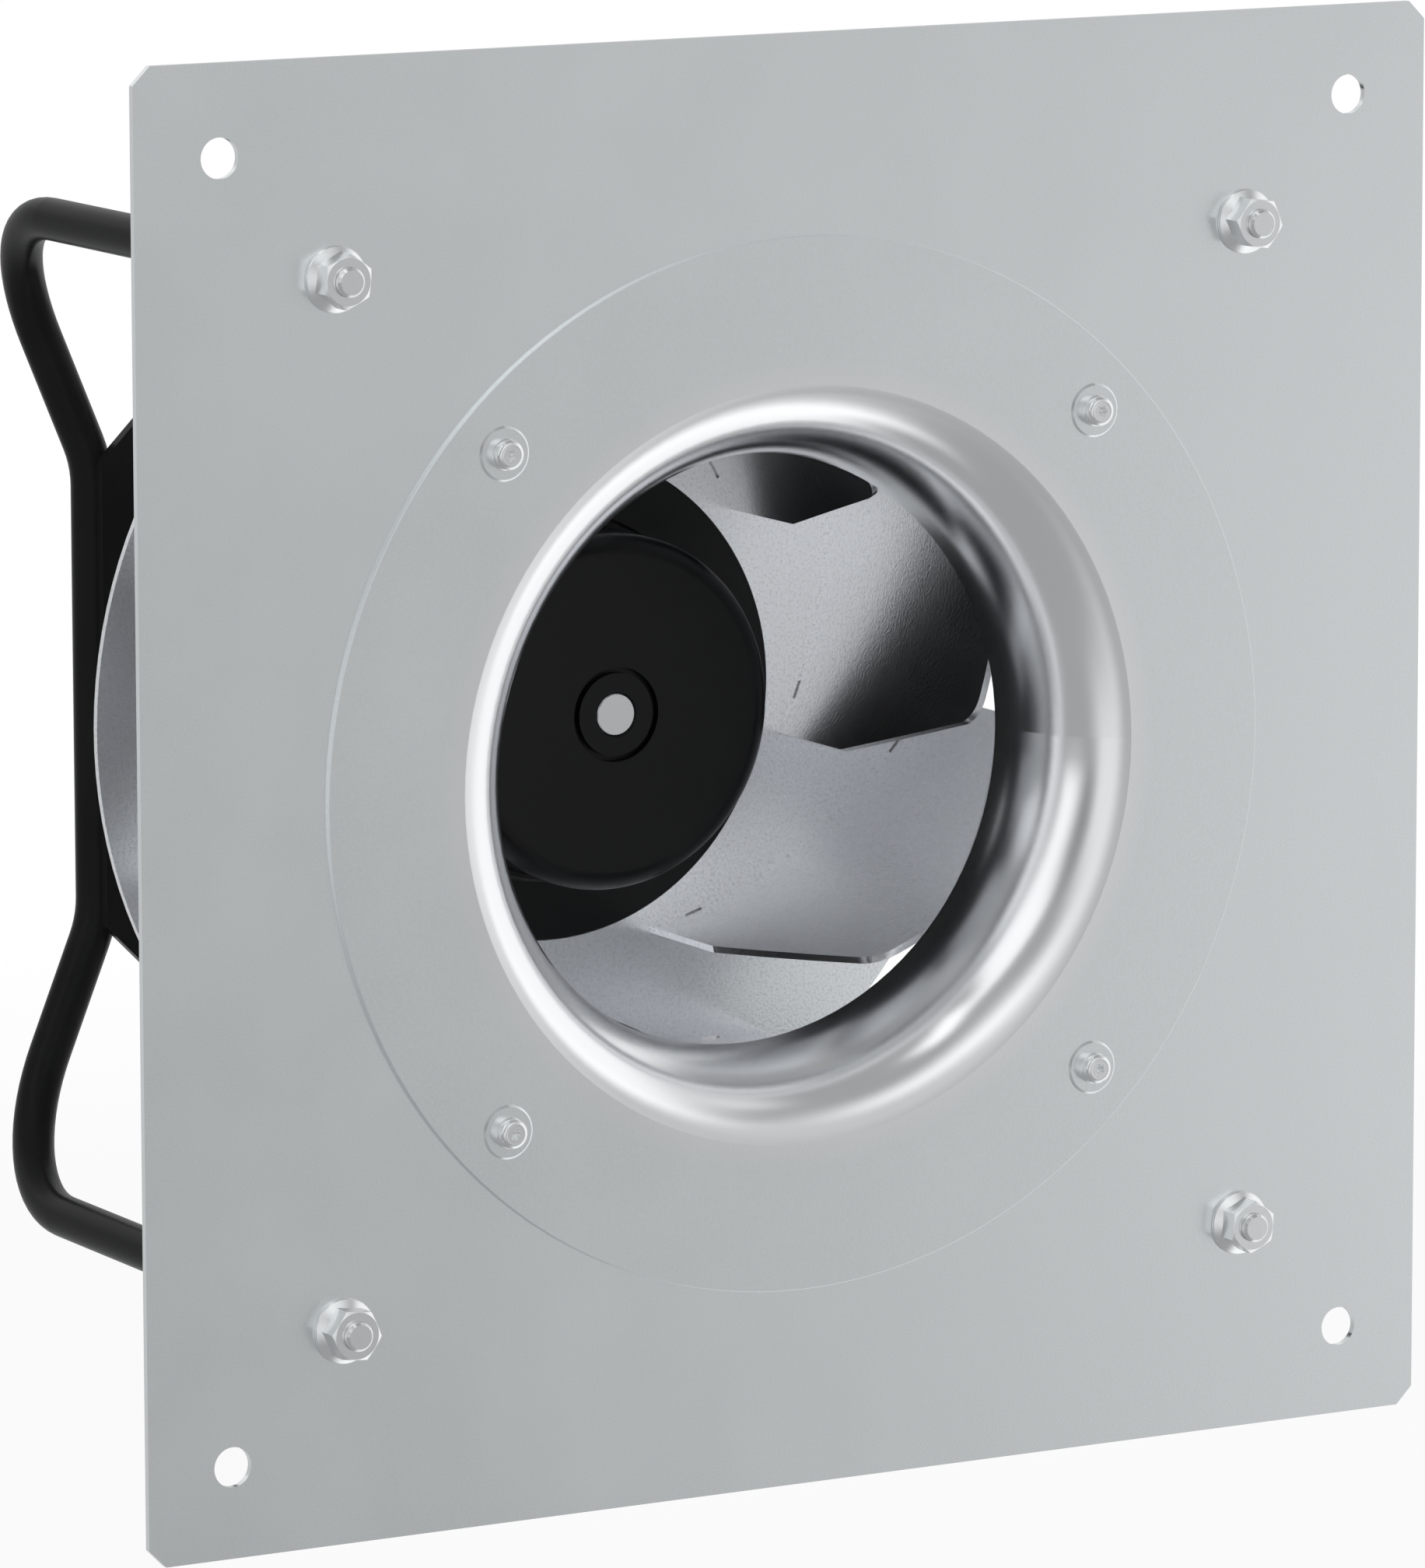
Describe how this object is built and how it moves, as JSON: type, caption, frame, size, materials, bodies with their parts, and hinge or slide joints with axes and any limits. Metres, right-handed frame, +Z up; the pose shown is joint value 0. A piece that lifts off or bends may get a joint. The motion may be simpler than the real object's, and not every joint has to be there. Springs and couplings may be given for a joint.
{
  "type": "plug fan",
  "caption": "Backward-curved centrifugal plug fan with an inlet nozzle in a square plate, bent-rod bracket and external-rotor motor.",
  "frame": {"origin": "on the fan axis at the front face of the square nozzle plate, the centre of its wall holes", "axes": "+Y along the fan axis from the inlet towards the motor, +Z up, +X to the right seen from the inlet"},
  "size_m": [0.4, 0.25, 0.4],
  "materials": {
    "galvanised_sheet": "matt zinc-coated sheet",
    "polished_sheet": "smooth spun sheet, semi-gloss",
    "wheel_sheet": "zinc-coated sheet with fine speckle",
    "zinc_plated": "bright zinc plating",
    "ground_steel": "ground",
    "spring_steel": "oiled",
    "black_coating": "satin powder coating",
    "black_rotor": "satin coating",
    "cast_aluminium": "as cast",
    "electrical_steel": "stacked sheet edges",
    "insulator_plastic": "moulded",
    "copper_wire": "enamelled wire",
    "board_laminate": "coated laminate",
    "component_plastic": "moulded",
    "cover_plastic": "moulded, fine grain",
    "gland_plastic": "moulded",
    "seal_rubber": "matt",
    "ferrite": "ground",
    "cage_plastic": "moulded"
  },
  "bodies": {
    "frame": {"nozzle_plate": "galvanised_sheet", "inlet_nozzle": "polished_sheet", "nozzle_screws": "zinc_plated", "nozzle_nuts": "zinc_plated", "flange_nuts": "zinc_plated", "left_bracket_rod": "black_coating", "right_bracket_rod": "black_coating", "motor_plate": "black_coating", "bracket_welds": "black_coating", "motor_bolts": "zinc_plated", "stator_housing": "cast_aluminium", "bearing_tube": "cast_aluminium", "tube_screws": "zinc_plated", "front_bearing_outer_ring": "ground_steel", "rear_bearing_outer_ring": "ground_steel", "bearing_circlip": "spring_steel", "preload_spring": "spring_steel", "lamination_stack": "electrical_steel", "stator_insulators": "insulator_plastic", "stator_windings": "copper_wire", "circuit_board": "board_laminate", "board_components": "component_plastic", "board_screws": "zinc_plated", "electronics_cover": "cover_plastic", "cover_gasket": "seal_rubber", "cover_screws": "zinc_plated", "gland_bodies": "gland_plastic", "gland_nuts": "gland_plastic", "gland_seals": "seal_rubber"},
    "impeller": {"back_disc": "wheel_sheet", "blades": "wheel_sheet", "front_shroud": "wheel_sheet", "balance_clips": "spring_steel", "rotor_can": "black_rotor", "hub_flange": "black_rotor", "hub_screws": "zinc_plated", "magnet_segments": "ferrite", "shaft": "ground_steel", "shaft_circlip": "spring_steel", "front_bearing_inner_ring": "ground_steel", "rear_bearing_inner_ring": "ground_steel"},
    "front_cage": {"front_bearing_balls": "ground_steel", "front_bearing_cage": "cage_plastic"},
    "rear_cage": {"rear_bearing_balls": "ground_steel", "rear_bearing_cage": "cage_plastic"}
  },
  "joints": [
    {"name": "impeller_spin", "type": "hinge", "parent": "frame", "child": "impeller", "pos_m": [0, 0, 0], "axis": [0, 1, 0], "continuous": true},
    {"name": "front_cage_spin", "type": "hinge", "parent": "frame", "child": "front_cage", "pos_m": [0, 0.115, 0], "axis": [0, 1, 0], "continuous": true},
    {"name": "rear_cage_spin", "type": "hinge", "parent": "frame", "child": "rear_cage", "pos_m": [0, 0.162, 0], "axis": [0, 1, 0], "continuous": true}
  ],
  "couplings": [
    {"joint": "front_cage_spin", "follows": "impeller_spin", "ratio": 0.3825},
    {"joint": "rear_cage_spin", "follows": "impeller_spin", "ratio": 0.3825}
  ]
}
